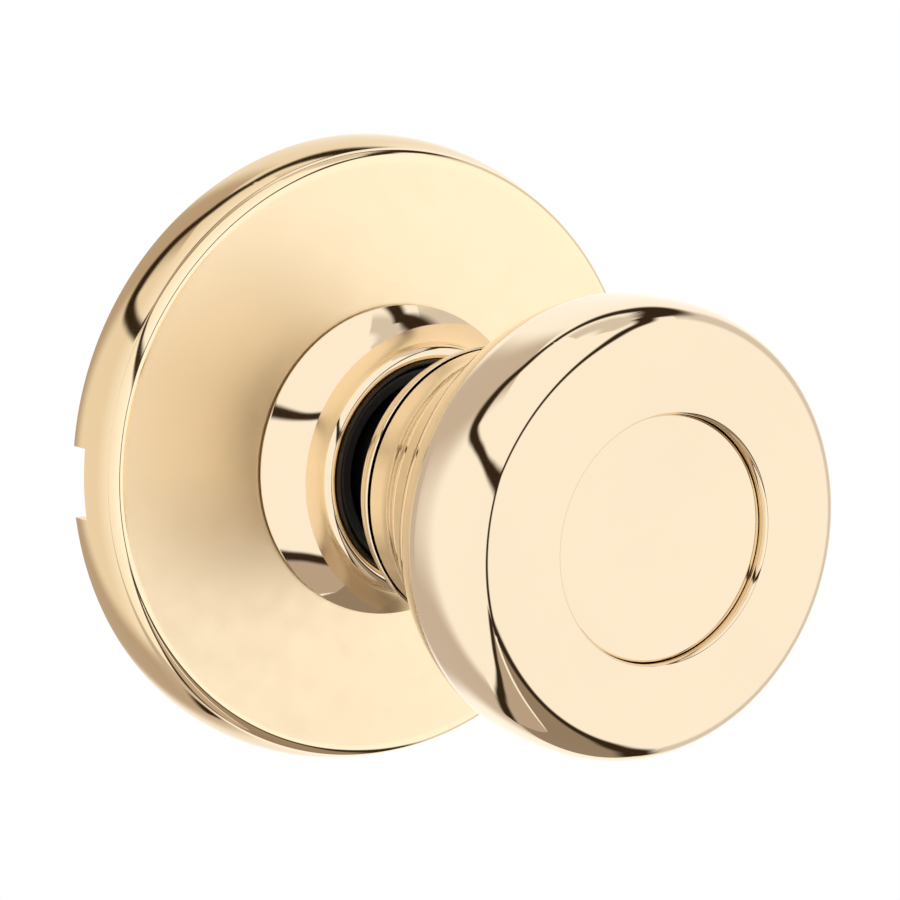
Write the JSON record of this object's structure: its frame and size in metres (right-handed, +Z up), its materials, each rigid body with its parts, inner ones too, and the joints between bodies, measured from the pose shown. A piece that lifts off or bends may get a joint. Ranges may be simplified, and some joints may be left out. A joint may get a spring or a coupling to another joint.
{
  "type": "door knob",
  "caption": "Round polished brass door knob half set with a ringed face, flared neck, collared round rose, sprung chassis, mounting posts and a half-round spindle.",
  "frame": {"origin": "centre of the rose's rear plane on the knob's axis, on the face of the door", "axes": "-Y points out of the door along the knob's axis towards the hand, +Y goes into the door, +Z is up, +X is to the right for someone facing the door"},
  "size_m": [0.0665, 0.1022, 0.0666],
  "materials": {
    "rose_brass": "polished",
    "collar_brass": "polished",
    "knob_brass": "polished",
    "disc_brass": "polished",
    "neck_brass": "polished",
    "ring_brass": "polished",
    "bushing_nylon": "moulded black nylon",
    "washer_nylon": "moulded natural nylon",
    "core_zinc": "die-cast zinc, as cast",
    "socket_zinc": "die-cast zinc, as cast",
    "shank_steel": "turned",
    "sleeve_steel": "yellow-passivated zinc plate",
    "catch_steel": "hardened",
    "spring_steel": "spring wire",
    "cam_steel": "yellow-passivated zinc plate",
    "plate_steel": "yellow-passivated zinc plate",
    "post_steel": "yellow-passivated zinc plate",
    "rivet_steel": "plain",
    "clip_steel": "phosphate black spring steel",
    "spindle_steel": "zinc plate"
  },
  "bodies": {
    "chassis": {"rose_cover": "rose_brass", "neck_collar": "collar_brass", "collar_bushing": "bushing_nylon", "mounting_plate": "plate_steel", "mounting_post_left": "post_steel", "mounting_post_right": "post_steel", "spring_housing": "plate_steel", "housing_rivet_lower": "rivet_steel", "housing_rivet_upper": "rivet_steel", "return_spring": "spring_steel", "thrust_washer": "washer_nylon", "wave_washer": "clip_steel"},
    "knob": {"knob_shell": "knob_brass", "centre_disc": "disc_brass", "knob_neck": "neck_brass", "neck_ring": "ring_brass", "knob_core": "core_zinc", "knob_shank": "shank_steel", "drive_sleeve": "sleeve_steel", "drive_cam": "cam_steel", "retaining_ring": "clip_steel", "spindle_socket": "socket_zinc", "spindle": "spindle_steel", "spindle_pin": "rivet_steel", "catch_spring": "spring_steel"},
    "catch": {"knob_catch": "catch_steel"}
  },
  "joints": [
    {"name": "knob_turn", "type": "hinge", "parent": "chassis", "child": "knob", "pos_m": [0, 0, 0], "axis": [0, -1, 0], "range_deg": [-60, 60], "stiffness_Nm_per_rad": 0.12, "deforming": ["return_spring"]},
    {"name": "catch_press", "type": "slide", "parent": "knob", "child": "catch", "axis": [0, 0, 1], "range_m": [0, 0.002], "stiffness_N_per_m": 900, "deforming": ["catch_spring"]}
  ]
}
